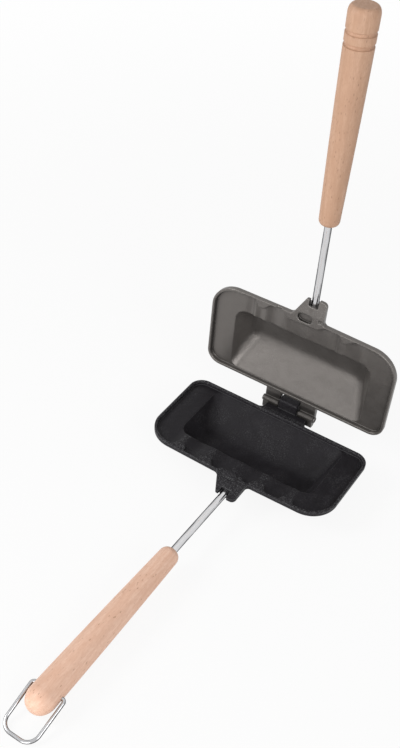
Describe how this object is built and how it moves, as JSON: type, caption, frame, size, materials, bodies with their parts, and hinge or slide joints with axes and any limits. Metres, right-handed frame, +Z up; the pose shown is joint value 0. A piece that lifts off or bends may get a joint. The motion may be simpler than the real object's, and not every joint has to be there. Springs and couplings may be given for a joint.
{
  "type": "pie iron",
  "caption": "Hinged pie iron with two rectangular non-stick cast pans, a crimped sealing edge, steel rods, turned wooden grips and a wire loop that locks it shut.",
  "frame": {"origin": "centre of the lower pan's footprint on its flat base, which stands on the table", "axes": "+X along the hinge, +Y from the handles to the hinge, +Z up; drawn with the upper half swung open by 90 degrees"},
  "size_m": [0.15, 0.3485, 0.3328],
  "materials": {
    "black_nonstick": "satin black non-stick coating on cast aluminium",
    "grey_nonstick": "warm grey metallic non-stick coating on cast aluminium",
    "plated_rod": "bright nickel-chrome plated steel rod",
    "plated_wire": "bright plated steel wire",
    "pin_steel": "plain steel pin",
    "lower_wood": "turned beech, lightly waxed",
    "upper_wood": "turned beech, lightly waxed, slightly darker"
  },
  "bodies": {
    "lower_half": {"lower_pan": "black_nonstick", "lower_rod": "plated_rod", "lower_rod_pin": "pin_steel", "lower_grip": "lower_wood", "hinge_pin": "pin_steel"},
    "upper_half": {"upper_pan": "grey_nonstick", "upper_rod": "plated_rod", "upper_rod_pin": "pin_steel", "upper_grip": "upper_wood"},
    "lock_loop": {"lock_loop": "plated_wire"}
  },
  "joints": [
    {"name": "pan_hinge", "type": "hinge", "parent": "lower_half", "child": "upper_half", "pos_m": [0, 0.0486, 0.0226], "axis": [1, 0, 0], "range_deg": [0, 90]},
    {"name": "loop_swing", "type": "hinge", "parent": "lower_half", "child": "lock_loop", "pos_m": [-0.00068, -0.24438, 0.01121], "axis": [-0.9998, 0.0218, 0], "range_deg": [-145.02, 118.08]}
  ]
}
